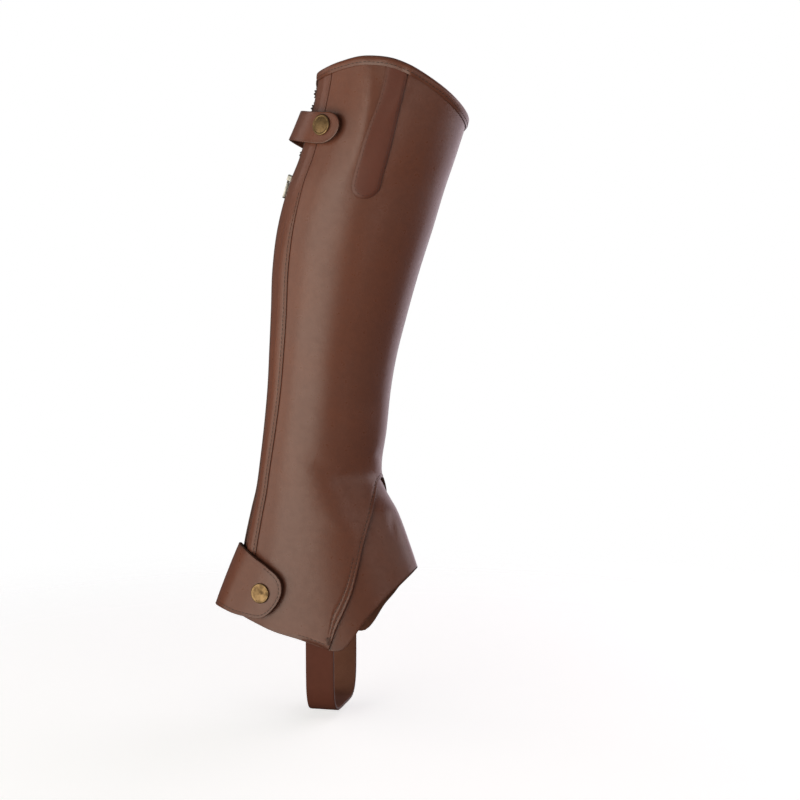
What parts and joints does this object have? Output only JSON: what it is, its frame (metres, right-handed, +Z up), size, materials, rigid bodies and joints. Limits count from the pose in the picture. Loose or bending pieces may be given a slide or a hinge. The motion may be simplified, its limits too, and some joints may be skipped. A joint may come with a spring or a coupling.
{
  "type": "half chap",
  "caption": "Right leather half chap with a rear zip, a snap tab at the calf, a snap flap at the heel, an instep piece and an under-foot strap.",
  "frame": {"origin": "middle of the calf hollow, where the wearer's calf holds the half chap up", "axes": "+X to the toe, +Y to the inner side of the leg, +Z up to the rim; the outer side faces -Y"},
  "size_m": [0.1926, 0.1208, 0.4803],
  "materials": {
    "chap_leather": "smooth brown leather, semi-gloss",
    "strip_leather": "smooth reddish brown leather, semi-gloss",
    "zip_tape": "woven dark brown tape",
    "zip_teeth": "dark brown coil",
    "snap_brass": "antique brass",
    "slider_metal": "satin nickel"
  },
  "bodies": {
    "chap": {"main_panel": "chap_leather", "vamp": "chap_leather", "back_strip": "chap_leather", "side_strip": "strip_leather", "top_binding": "chap_leather", "top_tab": "chap_leather", "heel_flap": "chap_leather", "stirrup_strap": "strip_leather", "top_snap_cap": "snap_brass", "top_snap_stud": "snap_brass", "heel_snap_cap": "snap_brass", "heel_snap_stud": "snap_brass", "zip_tape_outer": "zip_tape", "zip_tape_inner": "zip_tape", "zip_chain": "zip_teeth", "zip_row_outer": "zip_teeth", "zip_row_inner": "zip_teeth", "zip_slider": "slider_metal"},
    "pull": {"zip_pull": "slider_metal"}
  },
  "joints": [
    {"name": "pull_swing", "type": "hinge", "parent": "chap", "child": "pull", "pos_m": [-0.05235, -0.01975, 0.00796], "axis": [-0.2278, 0.966, 0.1219], "range_deg": [0, 150]}
  ]
}
